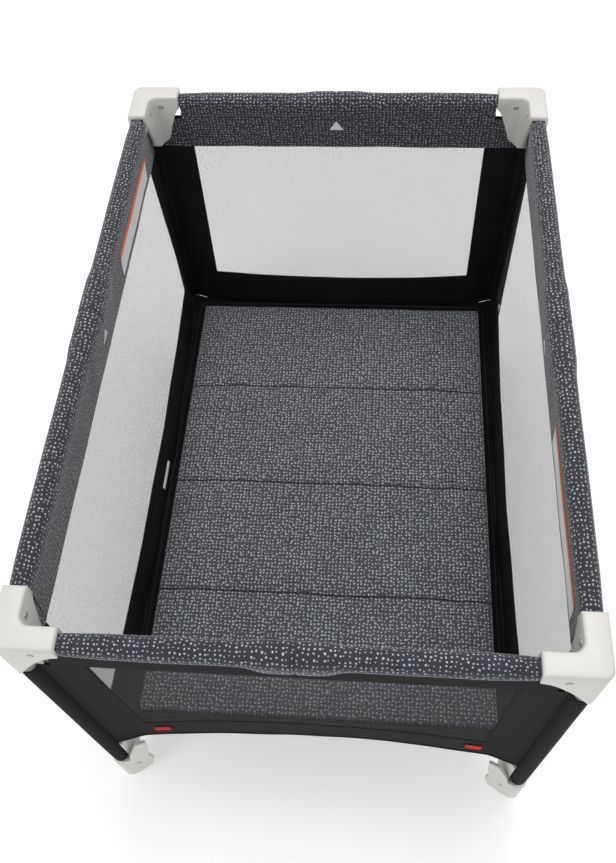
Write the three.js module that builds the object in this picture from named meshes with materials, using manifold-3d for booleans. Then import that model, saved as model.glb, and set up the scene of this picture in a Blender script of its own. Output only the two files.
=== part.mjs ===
// Folding playpen: four steel legs in plastic corner and foot brackets, four top rails that fold at a
// latch in the middle, four lower rails that meet at a lifting hub, fabric walls and floor, and a
// four-panel pad. Millimetres, +Z up, +Y along the length, origin on the ground at the centre.
import * as THREE from 'three';
import { mergeVertices } from 'three/addons/utils/BufferGeometryUtils.js';
import Module from 'manifold-3d';

const wasm = await Module();
wasm.setup();

// ---- Overall size ----
const WIDTH = 720;              // across X, outside the corner brackets
const LENGTH = 1020;            // along Y, outside the corner brackets
const HEIGHT = 735;             // top of the corner brackets
const GAP = 0.3;                // clearance between pieces that touch

// ---- Frame ----
const LEG_INSET = 15.5;         // leg axis behind the bracket's outer faces
const LEG_R = 11;
const RAIL_R = 9.5;
const TUBE_WALL = 1.5;
const LEG_SIDES = 20;
const RAIL_SIDES = 16;
const TUBE_TAIL = 7;            // tube past its pivot
const PIN_R = 3;
const PIN_SIDES = 8;
const PIN_CLEARANCE = 0.4;
const RAIL_DROP = 21;           // top rail axis below the bracket's top
const LOWER_RAIL_Z = 178;       // lower rail axis above the ground
const CORNER_PIVOT = 33;        // leg axis to a top rail's pivot
const FOOT_PIVOT = 30;          // leg axis to a lower rail's pivot
const HUB_PIVOT = 80;           // hub centre to a lower rail's pivot
const SLOT_CLEARANCE = 1;       // each side of a rail in its slot
const OVER = 5;                 // how far a cutting tool reaches past what it cuts

// ---- Brackets ----
const ARM_LENGTH = 80;          // along each side, from the outer corner
const ARM_DEPTH = 26;           // arm's outer face, from the top down
const TONGUE_DEPTH = 105;       // bracket's tongue on the leg, from the top down
const TONGUE_SLANT = 15;        // inner face: rise of the tongue's edge from its tip
const TONGUE_WIDTH = 22;        // inner face: tongue past the inner corner
const TONGUE_TIP = -7;          // outer face: end of the tongue's level edge, from the leg axis
const SWEEP_START = -6;         // outer face: where the edge's sweep up to the arm starts
const OUTER_SWEEP = 1.6;        // power of the sweep's curve, outer face
const INNER_SWEEP = 1.3;        // the same, inner face
const PIN_INSET = 3;            // a pin's end behind the bracket's face
const CAP_THICKNESS = 12;       // solid plastic over the leg's end
const CORNER_R = 14;
const INNER_R = 14;
const EDGE = 5;                 // bevel on the bracket's edges
const FOOT_RIM_Z = 106;         // rim of the foot's cup
const FOOT_FLOOR = 8;           // plastic under the leg
const FOOT_SKIN = 5;            // thickness of a wing
const FOOT_WING = 56;           // wing's reach from the leg axis
const WING_TURN = 0.35;         // wing's turn inward from the wall, radians
const WING_TOP = 6;             // wing's top edge below the hem
const LUG = 5;                  // clevis lug thickness
const LUG_REACH = 12;           // clevis past its pivot

// ---- Latches ----
const LATCH_WALL = 4;           // housing beside each slot
const LATCH_TAIL = 16;          // housing past its pivots
const LATCH_BELOW = 13;         // housing below the rail's axis
const BUTTON_TRAVEL = 6;
const BUTTON_LENGTH = 22;
const BUTTON_WIDTH = 14;
const BUTTON_FLANGE = 5;
const BUTTON_LIP = 3;
const BUTTON_TOP = 8;           // pocket's ceiling above the rail's axis

// ---- Hub ----
const HUB_R = 50;
const HUB_HALF = 12;            // half the depth of the hub's plate and clevises
const HUB_FOOT_R = 20;

// ---- Fabric and pad ----
const SLEEVE_PAD = 6.5;         // padding around a rail
const COVER_PAD = 4;            // padding around a latch housing
const INNER_FLAP = 96;          // cover below the rail's axis, inside
const OUTER_FLAP = 48;          // cover below the rail's axis, outside
const FLAP_END = 3;             // flap thickness at its lower edge
const WALL_T = 2;
const SEAM_GAP = 1;             // wall's face to a flap's lower edge
const WALL_TOP_DROP = 30;       // wall's top edge below the rail's axis
const LEG_SLEEVE = 2.8;         // fabric sleeve on a leg
const HEM_SAG = 20;             // hem lower in mid-span than over the feet
const HEM_CORNER_Z = 192;       // hem over the foot brackets
const FLOOR_T = 2;
const FLOOR_OVER_RAIL = 2;      // floor fabric above the lower rails
const PAD_T = 25;
const INSET_END = 36;           // hem of an end wall, inward of the leg axes, in mid-span
const INSET_SIDE = 26;          // the same for a side wall
const INSET_CORNER = 12;        // the same beside a leg
const INSET_RAMP = 60;          // length over which the lean fades away at each leg
const NOTCH = 8;                // wall's shoulder past the bracket's slot, and its slope
const WING_CLEARANCE = 8;       // hem's first station past a wing
const WALL_STEPS = 12;
const PAD_CLEARANCE = 10;       // pad's edge to the hem's plane
const PAD_SLIT = 0.6;           // between two pad panels
const STRAP_T = 1.2;
const STRAP_WIDTH = 50;
const STRAP_LENGTH = 420;

// ---- Worked out ----
const legX = WIDTH / 2 - LEG_INSET;
const legY = LENGTH / 2 - LEG_INSET;
const diagonal = Math.hypot(legX, legY);
const lean = Math.atan2(legY, legX);              // of the front left lower rail, from +X
const lowerLength = diagonal - HUB_PIVOT - FOOT_PIVOT;
const railZ = HEIGHT - RAIL_DROP;
const boreR = LEG_R + GAP;
const slotHalf = RAIL_R + SLOT_CLEARANCE;
const tailSweep = Math.hypot(RAIL_R, TUBE_TAIL) + GAP;
const slotStart = CORNER_PIVOT - tailSweep - GAP;
const armEnd = ARM_LENGTH - LEG_INSET;
const tongueZ = HEIGHT - TONGUE_DEPTH;
const housingHalf = slotHalf + LATCH_WALL;
const sleeveR = LEG_R + GAP + LEG_SLEEVE;
const clevisTop = LOWER_RAIL_Z + RAIL_R + GAP;
const floorZ = LOWER_RAIL_Z + RAIL_R + FLOOR_OVER_RAIL;
const padZ = floorZ + FLOOR_T + GAP + STRAP_T + GAP;
const foldSpan = HUB_PIVOT + FOOT_PIVOT;

// Two kinds of side: half-length between the leg axes, latch pivot offset and half-rail length.
function side(half, inset) {
  const share = half / diagonal;
  return { half, inset, latch: foldSpan * share - CORNER_PIVOT, rail: lowerLength * share };
}
const shortSide = side(legX, INSET_END);
const longSide = side(legY, INSET_SIDE);

// ---- Materials ----
const paint = (color, roughness, metalness = 0) =>
  new THREE.MeshStandardMaterial({ color, roughness, metalness });
const plastic = paint(0xd9d6d0, 0.45);
const steel = paint(0x9a9c9f, 0.35, 0.9);
const darkPlastic = paint(0x2a2b2d, 0.5);
const redPlastic = paint(0xb03a30, 0.45);
const printed = paint(0x33363d, 0.9);
const black = paint(0x17181a, 0.9);

// ---- Solids ----
function solid(geometry) {
  const bare = geometry.index ? geometry.toNonIndexed() : geometry.clone();
  bare.deleteAttribute('normal');
  bare.deleteAttribute('uv');
  const merged = mergeVertices(bare, 1e-4);
  return new wasm.Manifold(new wasm.Mesh({
    numProp: 3,
    vertProperties: new Float32Array(merged.attributes.position.array),
    triVerts: new Uint32Array(merged.index.array),
  }));
}

function geometryOf(body) {
  const { vertProperties, triVerts } = body.getMesh();
  const geometry = new THREE.BufferGeometry();
  geometry.setAttribute('position', new THREE.BufferAttribute(new Float32Array(vertProperties), 3));
  geometry.setIndex(new THREE.BufferAttribute(new Uint32Array(triVerts), 1));
  geometry.computeVertexNormals();
  return geometry;
}

const join = (...bodies) => bodies.reduce((a, b) => a.add(b));
const cut = (body, ...tools) => tools.reduce((a, b) => a.subtract(b), body);

function box(x0, x1, y0, y1, z0, z1) {
  const geometry = new THREE.BoxGeometry(x1 - x0, y1 - y0, z1 - z0);
  return solid(geometry.translate((x0 + x1) / 2, (y0 + y1) / 2, (z0 + z1) / 2));
}

// A cylinder from one point to another.
function rod(radius, from, to, sides = LEG_SIDES) {
  const a = new THREE.Vector3(...from);
  const b = new THREE.Vector3(...to);
  const geometry = new THREE.CylinderGeometry(radius, radius, a.distanceTo(b), sides);
  const along = b.clone().sub(a).normalize();
  geometry.applyQuaternion(new THREE.Quaternion().setFromUnitVectors(new THREE.Vector3(0, 1, 0), along));
  return solid(geometry.translate(...a.add(b).divideScalar(2).toArray()));
}

// A ring on the Z axis.
function ring(inner, outer, z0, z1, sides = LEG_SIDES) {
  const outline = [[inner, z0], [outer, z0], [outer, z1], [inner, z1], [inner, z0]];
  const lathe = new THREE.LatheGeometry(outline.map(([r, z]) => new THREE.Vector2(r, z)), sides);
  return solid(lathe.rotateX(Math.PI / 2));
}

const outline = (points) => new THREE.Shape(points.map(([x, y]) => new THREE.Vector2(x, y)));

// An outline drawn in X and Z, extruded from y0 to y1.
function slabXZ(points, y0, y1) {
  const geometry = new THREE.ExtrudeGeometry(outline(points), { depth: y1 - y0, bevelEnabled: false });
  return solid(geometry.rotateX(Math.PI / 2).translate(0, y1, 0));
}

// Swaps X and Y, to make the second arm of a corner from the first.
const swapXY = new THREE.Matrix4().set(0, 1, 0, 0, 1, 0, 0, 0, 0, 0, 1, 0, 0, 0, 0, 1);
const swapped = (points, y0, y1) => solid(flipped(geometryOf(slabXZ(points, y0, y1)), swapXY));

// Applies a mirroring matrix and turns the faces back out.
function flipped(geometry, matrix) {
  const result = geometry.clone().applyMatrix4(matrix);
  const index = result.index.array;
  for (let i = 0; i < index.length; i += 3) [index[i], index[i + 1]] = [index[i + 1], index[i]];
  result.computeVertexNormals();
  return result;
}

// Mirrors a front left piece to the corner (sx, sy), -1 for left and front.
function atCorner(geometry, sx, sy) {
  const matrix = new THREE.Matrix4().makeScale(-sx, -sy, 1);
  return sx * sy > 0 ? geometry.clone().applyMatrix4(matrix) : flipped(geometry, matrix);
}

function extruded(shape, z0, z1, bevel, bevelBottom = bevel, bevelSegments = 1) {
  const geometry = new THREE.ExtrudeGeometry(shape, {
    depth: z1 - z0 - 2 * bevelBottom, bevelThickness: bevelBottom, bevelSize: bevel, bevelOffset: -bevel,
    bevelSegments, curveSegments: 4,
  });
  return solid(geometry.translate(0, 0, z0 + bevelBottom));
}

// ---- Corner bracket, front left: leg axis at the origin, arms along +X and +Y ----
function cornerShape() {
  const shape = new THREE.Shape();
  const w = LEG_INSET;
  shape.moveTo(-w + CORNER_R, -w);
  shape.lineTo(armEnd, -w);
  shape.lineTo(armEnd, w);
  shape.lineTo(w + INNER_R, w);
  shape.absarc(w + INNER_R, w + INNER_R, INNER_R, -Math.PI / 2, -Math.PI, true);
  shape.lineTo(w, armEnd);
  shape.lineTo(-w, armEnd);
  shape.lineTo(-w, -w + CORNER_R);
  shape.absarc(-w + CORNER_R, -w + CORNER_R, CORNER_R, Math.PI, 1.5 * Math.PI, false);
  return shape;
}

// The underside of one face: a tongue at the leg that sweeps up to the arm.
function undersideOutline(tip, from, fromDepth, power) {
  const low = tongueZ - 2 * LEG_INSET;
  const to = armEnd - 2;
  const back = -LEG_INSET - OVER;
  const points = [[back, low], [back, tongueZ], [tip, tongueZ]];
  const steps = 7;
  for (let i = 0; i <= steps; i += 1) {
    const t = i / steps;
    const depth = ARM_DEPTH + (fromDepth - ARM_DEPTH) * (1 - t) ** power;
    points.push([from + (to - from) * t, HEIGHT - depth]);
  }
  points.push([armEnd + OVER, HEIGHT - ARM_DEPTH + 1], [armEnd + OVER, low]);
  return points.reverse();
}

function cornerBracket() {
  const outer = undersideOutline(TONGUE_TIP, SWEEP_START, TONGUE_DEPTH - 1, OUTER_SWEEP);
  const tip = LEG_INSET + 4;
  const sweep = LEG_INSET + TONGUE_WIDTH;
  const inner = undersideOutline(tip, sweep, TONGUE_DEPTH - TONGUE_SLANT, INNER_SWEEP);
  const reach = armEnd + OVER;
  const back = -LEG_INSET - OVER;
  const slotTop = railZ + tailSweep;
  const low = tongueZ - 2 * EDGE;
  const pinHalf = LEG_INSET - PIN_INSET;
  const shell = cut(
    extruded(cornerShape(), low + EDGE, HEIGHT, EDGE, EDGE, 3),
    slabXZ(outer, back, 0),
    swapped(outer, back, 0),
    slabXZ(inner, 0, reach),
    swapped(inner, 0, reach),
    rod(boreR, [0, 0, low - OVER], [0, 0, HEIGHT - CAP_THICKNESS]),
    box(slotStart, reach, -slotHalf, slotHalf, low, slotTop),
    box(-slotHalf, slotHalf, slotStart, reach, low, slotTop),
  );
  return geometryOf(join(
    shell,
    rod(PIN_R, [CORNER_PIVOT, -pinHalf, railZ], [CORNER_PIVOT, pinHalf, railZ], PIN_SIDES),
    rod(PIN_R, [-pinHalf, CORNER_PIVOT, railZ], [pinHalf, CORNER_PIVOT, railZ], PIN_SIDES),
  ));
}

// ---- Foot bracket, front left: a cup on the leg, two skins and a clevis towards the hub ----
function footCupShape() {
  const shape = new THREE.Shape();
  const w = LEG_INSET;
  const corners = [[w, -w, -0.5], [w, w, 0], [-w, w, 0.5], [-w, -w, 1]];
  shape.moveTo(-w + CORNER_R, -w);
  for (const [x, y, turn] of corners) {
    const cx = x - Math.sign(x) * CORNER_R;
    const cy = y - Math.sign(y) * CORNER_R;
    shape.absarc(cx, cy, CORNER_R, turn * Math.PI, (turn + 0.5) * Math.PI, false);
  }
  return shape;
}

// A wing of the foot, from the cup towards the hem; X is the distance from the leg axis.
function footWingOutline() {
  const end = FOOT_WING;
  const top = HEM_CORNER_Z - WING_TOP;
  return [[0, 14], [12, 12], [end - 14, 44], [end - 6, 78], [end - 10, 104], [end - 4, 140], [end, top],
    [end - 16, top - 2], [boreR + 6, FOOT_RIM_Z + 24], [boreR + 2, FOOT_RIM_Z], [0, FOOT_RIM_Z]];
}

function alongLean(geometry) {
  return solid(geometry.rotateZ(lean));
}

function footWing(mirrored) {
  const wing = geometryOf(slabXZ(footWingOutline(), -LEG_INSET, -LEG_INSET + FOOT_SKIN));
  wing.rotateZ(WING_TURN);
  return solid(mirrored ? flipped(wing, swapXY) : wing);
}

function footBracket() {
  const half = slotHalf + LUG;
  const lugEnd = FOOT_PIVOT + LUG_REACH;
  const slotFloor = LOWER_RAIL_Z - tailSweep;
  const low = FOOT_RIM_Z - 40;
  const clevis = alongLean(geometryOf(cut(
    slabXZ([[8, low], [lugEnd - 12, low + 4], [lugEnd, slotFloor - 12], [lugEnd, clevisTop], [8, clevisTop]],
      -half, half),
    box(FOOT_PIVOT - tailSweep, lugEnd + OVER, -slotHalf, slotHalf, slotFloor, clevisTop + OVER),
  )));
  const body = cut(
    join(
      extruded(footCupShape(), 0, FOOT_RIM_Z, 5, 9),
      footWing(false),
      footWing(true),
      clevis,
    ),
    rod(boreR, [0, 0, FOOT_FLOOR], [0, 0, HEM_CORNER_Z]),
    rod(sleeveR + GAP, [0, 0, FOOT_RIM_Z], [0, 0, HEM_CORNER_Z + OVER]),
  );
  const [x, y, z] = [FOOT_PIVOT, half - 2, LOWER_RAIL_Z];
  const pin = geometryOf(rod(PIN_R, [x, -y, z], [x, y, z], PIN_SIDES));
  return geometryOf(join(body, alongLean(pin)));
}

// ---- Tubes ----
function legTube() {
  return geometryOf(ring(LEG_R - TUBE_WALL, LEG_R, FOOT_FLOOR + GAP, HEIGHT - CAP_THICKNESS - GAP));
}

// A rail from its pivot at the origin to its pivot at (length, 0, 0), with a hole for each pin.
function rail(length) {
  const tube = geometryOf(ring(RAIL_R - TUBE_WALL, RAIL_R, -TUBE_TAIL, length + TUBE_TAIL, RAIL_SIDES));
  const holes = [0, length].map((x) => rod(PIN_R + PIN_CLEARANCE, [x, -20, 0], [x, 20, 0], PIN_SIDES));
  return geometryOf(cut(solid(tube.rotateY(Math.PI / 2)), ...holes));
}

// ---- Latch housing and its button, centred on the rail's axis ----
function archOutline(half, below, steps = 8) {
  const points = [[-half, -below], [half, -below]];
  for (let i = 0; i <= steps; i += 1) {
    const turn = (Math.PI * i) / steps;
    points.push([half * Math.cos(turn), half * Math.sin(turn)]);
  }
  return points;
}

function alongX(points, x0, x1) {
  const geometry = new THREE.ExtrudeGeometry(outline(points), { depth: x1 - x0, bevelEnabled: false });
  return solid(geometry.rotateX(Math.PI / 2).rotateZ(Math.PI / 2).translate(x0, 0, 0));
}

function latchHousing({ latch }) {
  const end = latch + LATCH_TAIL;
  const slot = latch - tailSweep - GAP;
  const low = -LATCH_BELOW - OVER;
  const top = housingHalf + OVER;       // each rail swings up through an open clevis
  const pocket = BUTTON_LENGTH / 2 + GAP;
  const pinHalf = housingHalf - 1;
  const body = cut(
    alongX(archOutline(housingHalf, LATCH_BELOW), -end, end),
    box(slot, end + OVER, -slotHalf, slotHalf, low, top),
    box(-end - OVER, -slot, -slotHalf, slotHalf, low, top),
    box(-pocket, pocket, -BUTTON_WIDTH / 2 - GAP, BUTTON_WIDTH / 2 + GAP, low, BUTTON_TOP),
  );
  const pins = [latch, -latch].map((x) => rod(PIN_R, [x, -pinHalf, 0], [x, pinHalf, 0], PIN_SIDES));
  return geometryOf(join(body, ...pins));
}

function releaseButton() {
  const halfX = BUTTON_LENGTH / 2;
  const halfY = BUTTON_WIDTH / 2;
  const flangeTop = -LATCH_BELOW - BUTTON_TRAVEL - GAP;
  const flange = new THREE.Shape();
  const x = halfX + BUTTON_LIP;
  const y = halfY + BUTTON_LIP;
  flange.moveTo(-x + y, -y);
  flange.lineTo(x - y, -y);
  flange.absarc(x - y, 0, y, -Math.PI / 2, Math.PI / 2, false);
  flange.lineTo(-x + y, y);
  flange.absarc(-x + y, 0, y, Math.PI / 2, 1.5 * Math.PI, false);
  return geometryOf(join(
    box(-halfX, halfX, -halfY, halfY, flangeTop - 1, BUTTON_TOP - BUTTON_TRAVEL - GAP),
    extruded(flange, flangeTop - BUTTON_FLANGE, flangeTop, 1),
  ));
}

// ---- Hub ----
function hub() {
  const half = slotHalf + LUG;
  const z0 = LOWER_RAIL_Z - HUB_HALF;
  const z1 = LOWER_RAIL_Z + HUB_HALF - 1;
  const end = HUB_PIVOT + LUG_REACH;
  const r = HUB_FOOT_R;
  const foot = [[0, 0], [r + 6, 0], [r + 4, 8], [r, 20], [r, z0 + 5], [0, z0 + 5]];
  const column = new THREE.LatheGeometry(foot.map(([x, z]) => new THREE.Vector2(x, z)), 16);
  let body = join(rod(HUB_R, [0, 0, z0], [0, 0, z1], 24), solid(column.rotateX(Math.PI / 2)));
  for (const turn of [lean, -lean, Math.PI + lean, Math.PI - lean]) {
    const arm = geometryOf(cut(
      box(HUB_R - 20, end, -half, half, z0, z1),
      box(HUB_PIVOT - tailSweep, end + OVER, -slotHalf, slotHalf, z0 - OVER, z1 + OVER),
    ));
    const [x, y, z] = [HUB_PIVOT, half - 1, LOWER_RAIL_Z];
    const pin = geometryOf(rod(PIN_R, [x, -y, z], [x, y, z], PIN_SIDES));
    body = join(body, solid(arm.rotateZ(turn)), solid(pin.rotateZ(turn)));
  }
  return geometryOf(body);
}

// ---- Rail covers: padded over the top, with a flap each side of the wall; -Y is the outside ----
function coverOutline(inner, padding, straight) {
  const outer = inner + padding;
  const steps = 8;
  const arc = (radius, from, to) => Array.from({ length: steps + 1 }, (_, i) => {
    const turn = from + ((to - from) * i) / steps;
    return [radius * Math.cos(turn), radius * Math.sin(turn)];
  });
  const seam = WALL_T / 2 + SEAM_GAP;
  return [
    ...arc(outer, 0, Math.PI),
    [-outer, -straight], [-seam - FLAP_END, -OUTER_FLAP], [-seam, -OUTER_FLAP], [-inner, -straight],
    ...arc(inner, Math.PI, 0),
    [inner, -straight], [seam, -INNER_FLAP], [seam + FLAP_END, -INNER_FLAP], [outer, -straight],
  ];
}

// Drops points that repeat, where the straight part has no height.
const distinct = (points) => points.filter(([x, y], i) => {
  const [px, py] = points[(i + points.length - 1) % points.length];
  return Math.hypot(x - px, y - py) > 1e-6;
});

function railSleeve({ rail: length }) {
  const points = distinct(coverOutline(RAIL_R + GAP, SLEEVE_PAD, 0));
  return geometryOf(alongX(points, armEnd + GAP - CORNER_PIVOT, length - LATCH_TAIL - GAP));
}

function latchCover({ latch }) {
  const end = latch + LATCH_TAIL;
  const straight = LATCH_BELOW + GAP;
  return geometryOf(alongX(coverOutline(housingHalf + GAP, COVER_PAD, straight), -end, end));
}

// ---- Wall: from the leg it is sewn round to the next leg, along +X; its foot leans in, to +Y ----
const wallTop = railZ - WALL_TOP_DROP;
const wallKnee = railZ - INNER_FLAP - 2;          // upright above this, behind the inner flap

// How far inward a wall is at x along a side and height z.
function wallInset({ half, inset }, x, z) {
  const along = Math.sin((Math.PI * x) / (2 * half));
  const drop = Math.max(0, (wallKnee - z) / (wallKnee - HEM_CORNER_Z));
  return drop * (INSET_CORNER + (inset - INSET_CORNER) * along)
    * Math.min(1, x / INSET_RAMP, (2 * half - x) / INSET_RAMP);
}

function wallStations({ half }) {
  const start = FOOT_WING + WING_CLEARANCE;
  const step = (2 * half - 2 * start) / WALL_STEPS;
  return Array.from({ length: WALL_STEPS + 1 }, (_, i) => start + step * i);
}

// A sheet of the wall's thickness from columns of x, lower z and upper z.
function wallSheet(kind, columns) {
  const points = [];
  for (const [x, low, high] of columns) {
    for (const z of [low, wallKnee, high]) {
      const y = wallInset(kind, x, z);
      points.push(x, y - WALL_T / 2, z, x, y + WALL_T / 2, z);
    }
  }
  const index = [];
  const quad = (a, b, c, d) => index.push(a, b, c, a, c, d);
  const last = 6 * (columns.length - 1);
  for (let a = 0; a < last; a += 6) {
    const b = a + 6;
    quad(a, b, b + 2, a + 2);
    quad(a + 2, b + 2, b + 4, a + 4);
    quad(b + 1, a + 1, a + 3, b + 3);
    quad(b + 3, a + 3, a + 5, b + 5);
    quad(a + 1, b + 1, b, a);
    quad(a + 4, b + 4, b + 5, a + 5);
  }
  for (const row of [0, 2]) {
    quad(row, row + 2, row + 3, row + 1);
    quad(last + row, last + row + 1, last + row + 3, last + row + 2);
  }
  const geometry = new THREE.BufferGeometry();
  geometry.setAttribute('position', new THREE.BufferAttribute(new Float32Array(points), 3));
  geometry.setIndex(index);
  return solid(geometry);
}

function wall(kind) {
  const { half } = kind;
  const end = 2 * half;
  const notch = slotStart + NOTCH;
  const shoulder = tongueZ - GAP;
  const corner = HEM_CORNER_Z + GAP;
  const middle = wallStations(kind).map((x) => {
    const t = x / end;
    return [x, corner - HEM_SAG * 4 * t * (1 - t), wallTop];
  });
  const panel = wallSheet(kind, [
    [LEG_R + 1, corner, shoulder], [notch, corner, shoulder], [notch + NOTCH, corner, wallTop], ...middle,
    [end - notch - NOTCH, corner, wallTop], [end - notch, corner, shoulder],
    [end - sleeveR - GAP, corner, shoulder],
  ]);
  return geometryOf(join(ring(boreR, sleeveR, FOOT_RIM_Z + GAP, shoulder), panel));
}

// ---- Floor: one quarter, front left, from the walls to the centre lines ----
function floorQuarter() {
  const notch = slotStart + NOTCH;
  const edge = (kind, x) => wallInset(kind, x, floorZ) + WALL_T / 2 + GAP;
  const stops = (kind) => [2, notch, notch + NOTCH, ...wallStations(kind).filter((x) => x < kind.half - 1)];
  const endOf = (kind) => kind.half - GAP / 2;
  const front = stops(shortSide).concat(endOf(shortSide)).map((x) => [x, edge(shortSide, x)]);
  const left = stops(longSide).concat(endOf(longSide)).map((y) => [edge(longSide, y), y]);
  const shape = outline([...front, [endOf(shortSide), endOf(longSide)], ...left.reverse()]);
  const geometry = new THREE.ExtrudeGeometry(shape, { depth: FLOOR_T, bevelEnabled: false });
  return geometryOf(cut(
    solid(geometry.translate(0, 0, floorZ)),
    rod(sleeveR + GAP, [0, 0, floorZ - OVER], [0, 0, floorZ + FLOOR_T + OVER]),
  ));
}

// ---- Pad: four equal panels along Y, front to back ----
const padHalfX = legX - INSET_SIDE - PAD_CLEARANCE;
const padHalfY = legY - INSET_END - PAD_CLEARANCE;
const panelLength = (2 * padHalfY - 3 * PAD_SLIT) / 4;

function padPanel() {
  return geometryOf(box(-padHalfX, padHalfX, 0, panelLength, padZ, padZ + PAD_T));
}

// The webbing under the back panel that holds the pad to the floor.
function padStrap() {
  const x = STRAP_LENGTH / 2;
  const y = STRAP_WIDTH / 2;
  return geometryOf(box(-x, x, -y, y, floorZ + FLOOR_T + GAP, padZ - GAP));
}

// ---- Scene ----
const group = new THREE.Group();

function place(name, geometry, material, x = 0, y = 0, z = 0, turn = 0) {
  const mesh = new THREE.Mesh(geometry, material);
  mesh.name = name;
  mesh.position.set(x, y, z);
  mesh.rotation.z = turn;
  group.add(mesh);
}

const CORNERS = [
  { name: 'front_left', sx: -1, sy: -1 },
  { name: 'front_right', sx: 1, sy: -1 },
  { name: 'back_right', sx: 1, sy: 1 },
  { name: 'back_left', sx: -1, sy: 1 },
];

for (const { name, sx, sy } of CORNERS) {
  const x = sx * legX;
  const y = sy * legY;
  const inward = Math.atan2(-y, -x);
  place(`leg_tube_${name}`, legTube(), steel, x, y);
  place(`corner_bracket_${name}`, atCorner(cornerBracket(), sx, sy), plastic, x, y);
  place(`foot_bracket_${name}`, atCorner(footBracket(), sx, sy), plastic, x, y);
  place(`lower_rail_${name}`, rail(lowerLength), steel,
    x + FOOT_PIVOT * Math.cos(inward), y + FOOT_PIVOT * Math.sin(inward), LOWER_RAIL_Z, inward);
  place(`floor_${name}`, atCorner(floorQuarter(), sx, sy), black, x, y);
}

// Each side runs from its first leg to its second; its A half is at the first.
const SIDES = [
  { name: 'front', kind: shortSide, x: -legX, y: -legY, turn: 0 },
  { name: 'right', kind: longSide, x: legX, y: -legY, turn: Math.PI / 2 },
  { name: 'back', kind: shortSide, x: legX, y: legY, turn: Math.PI },
  { name: 'left', kind: longSide, x: -legX, y: legY, turn: -Math.PI / 2 },
];

for (const { name, kind, x, y, turn } of SIDES) {
  const along = (distance) => [x + distance * Math.cos(turn), y + distance * Math.sin(turn), railZ];
  const first = along(CORNER_PIVOT);
  const last = along(2 * kind.half - CORNER_PIVOT);
  const middle = along(kind.half);
  const sleeve = railSleeve(kind);
  const back = turn + Math.PI;
  place(`top_rail_${name}_a`, rail(kind.rail), steel, ...first, turn);
  place(`top_rail_${name}_b`, rail(kind.rail), steel, ...last, back);
  place(`rail_sleeve_${name}_a`, sleeve, printed, ...first, turn);
  place(`rail_sleeve_${name}_b`, flipped(sleeve, new THREE.Matrix4().makeScale(1, -1, 1)), printed,
    ...last, back);
  place(`latch_housing_${name}`, latchHousing(kind), darkPlastic, ...middle, turn);
  place(`latch_cover_${name}`, latchCover(kind), printed, ...middle, turn);
  place(`latch_button_${name}`, releaseButton(), redPlastic, ...middle, turn);
  place(`wall_${name}`, wall(kind), black, x, y, 0, turn);
}

place('center_hub', hub(), darkPlastic);
place('pad_strap', padStrap(), black, 0, padHalfY - panelLength / 2);
for (let i = 0; i < 4; i += 1) {
  place(`pad_panel_${i + 1}`, padPanel(), printed, 0, -padHalfY + i * (panelLength + PAD_SLIT));
}

export default group;
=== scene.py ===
# %% [markdown]
# # A folding playpen
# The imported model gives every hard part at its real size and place: tubes, brackets, latches and the
# hub. This lesson adds what a solid model can't give: the padded rail covers, the net walls, the
# quilted pad, and a finish for each surface. Everything is in metres, +Z up, +Y along the length.

# %% Load the frame
import math

import bmesh
import bpy
from mathutils import Matrix, Vector, noise


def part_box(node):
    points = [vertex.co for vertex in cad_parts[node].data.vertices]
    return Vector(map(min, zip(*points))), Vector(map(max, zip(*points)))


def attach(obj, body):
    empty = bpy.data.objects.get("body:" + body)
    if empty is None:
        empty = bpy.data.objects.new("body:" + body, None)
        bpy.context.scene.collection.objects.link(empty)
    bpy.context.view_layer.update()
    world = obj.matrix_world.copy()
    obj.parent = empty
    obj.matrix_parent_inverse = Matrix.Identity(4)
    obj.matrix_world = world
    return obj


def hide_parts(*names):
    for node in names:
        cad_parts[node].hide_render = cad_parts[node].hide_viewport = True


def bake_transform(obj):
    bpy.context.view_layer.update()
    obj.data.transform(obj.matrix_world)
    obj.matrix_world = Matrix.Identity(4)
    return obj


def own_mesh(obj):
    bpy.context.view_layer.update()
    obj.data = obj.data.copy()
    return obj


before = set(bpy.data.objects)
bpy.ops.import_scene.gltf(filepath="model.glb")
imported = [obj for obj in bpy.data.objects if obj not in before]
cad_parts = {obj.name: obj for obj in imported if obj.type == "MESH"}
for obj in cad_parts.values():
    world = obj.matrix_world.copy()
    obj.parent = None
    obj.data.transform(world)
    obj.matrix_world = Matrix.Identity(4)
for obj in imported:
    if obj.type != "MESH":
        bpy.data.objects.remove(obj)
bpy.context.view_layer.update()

# %% [markdown]
# ## Places worked out from the frame
# The covers and walls run from leg to leg, so each side is described once: the leg where it starts,
# the direction along it and the direction into the playpen. Every soft piece is then placed by its
# distance along the side, its distance inward and its height, and one function serves four sides.

# %% Sides and heights
CORNERS = {"front_left": (-1, -1), "front_right": (1, -1), "back_right": (1, 1), "back_left": (-1, 1)}
SIDE_STARTS = {
    "front": ("front_left", (1, 0)),
    "right": ("front_right", (0, 1)),
    "back": ("back_right", (-1, 0)),
    "left": ("back_left", (0, -1)),
}


def centre(node):
    low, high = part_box(node)
    return (low + high) / 2


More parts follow.
